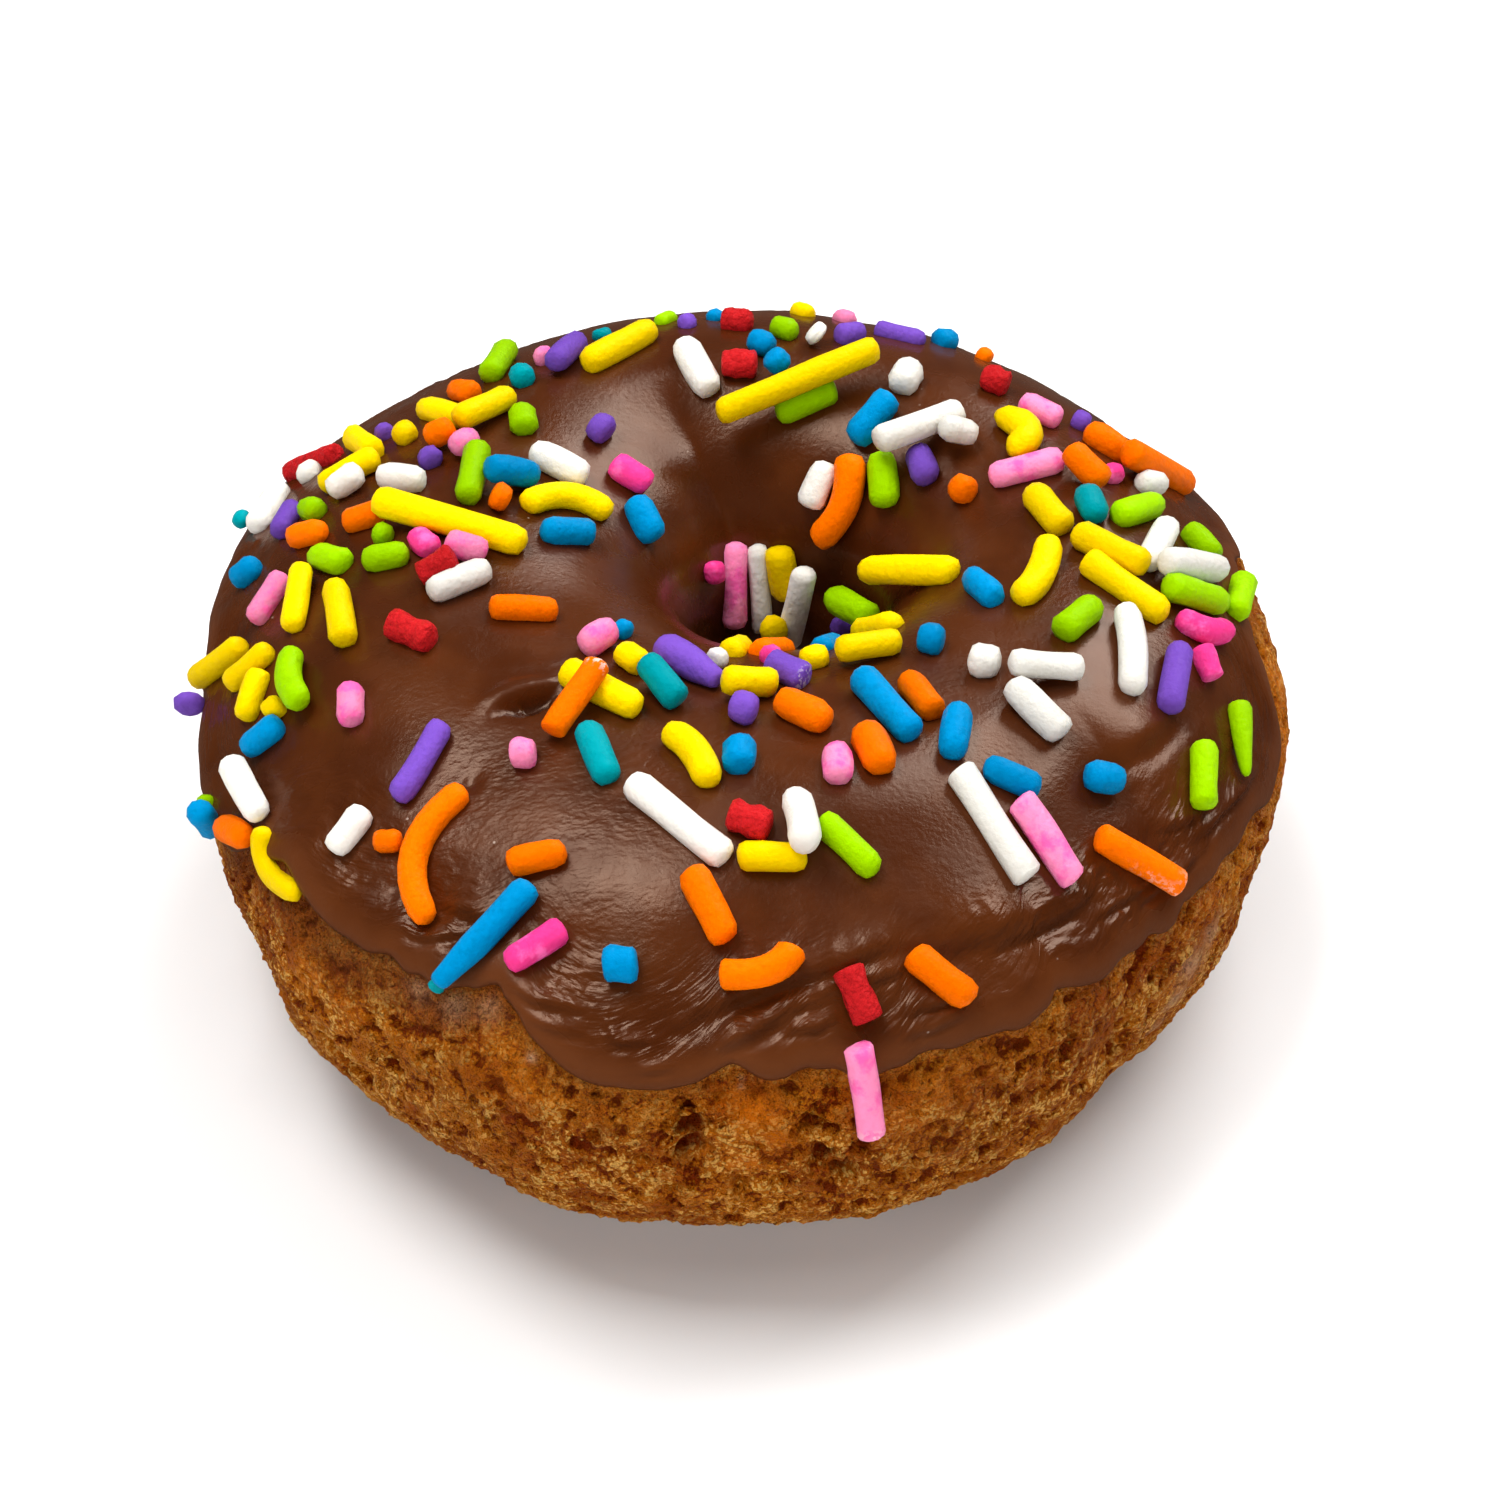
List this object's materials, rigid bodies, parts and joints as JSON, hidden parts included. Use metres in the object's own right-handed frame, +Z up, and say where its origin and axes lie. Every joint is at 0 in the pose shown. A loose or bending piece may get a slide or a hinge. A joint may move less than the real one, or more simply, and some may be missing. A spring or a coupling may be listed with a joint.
{
  "type": "sprinkle frosted doughnut",
  "caption": "Ring-shaped cake doughnut with a small off-centre hole, a lobed chocolate icing cap that runs into the hole, and rod sprinkles scattered over it.",
  "frame": {"origin": "middle of the doughnut's footprint, on the surface it stands on", "axes": "+Z up through the icing, the front with the widest band of bare dough towards -Y, +X to the right seen from the front"},
  "size_m": [0.0721, 0.0754, 0.0313],
  "materials": {
    "crumb": "golden brown fried cake crumb, porous and matt",
    "chocolate": "set chocolate icing, satin with soft highlights",
    "sprinkle_yellow": "waxy yellow sugar rod",
    "sprinkle_orange": "waxy orange sugar rod",
    "sprinkle_red": "waxy red sugar rod",
    "sprinkle_pink": "waxy pink sugar rod",
    "sprinkle_hot_pink": "waxy deep pink sugar rod",
    "sprinkle_purple": "waxy purple sugar rod",
    "sprinkle_blue": "waxy blue sugar rod",
    "sprinkle_teal": "waxy teal sugar rod",
    "sprinkle_green": "waxy green sugar rod",
    "sprinkle_white": "waxy white sugar rod"
  },
  "bodies": {
    "root": {"dough": "crumb", "icing": "chocolate"}
  },
  "joints": []
}
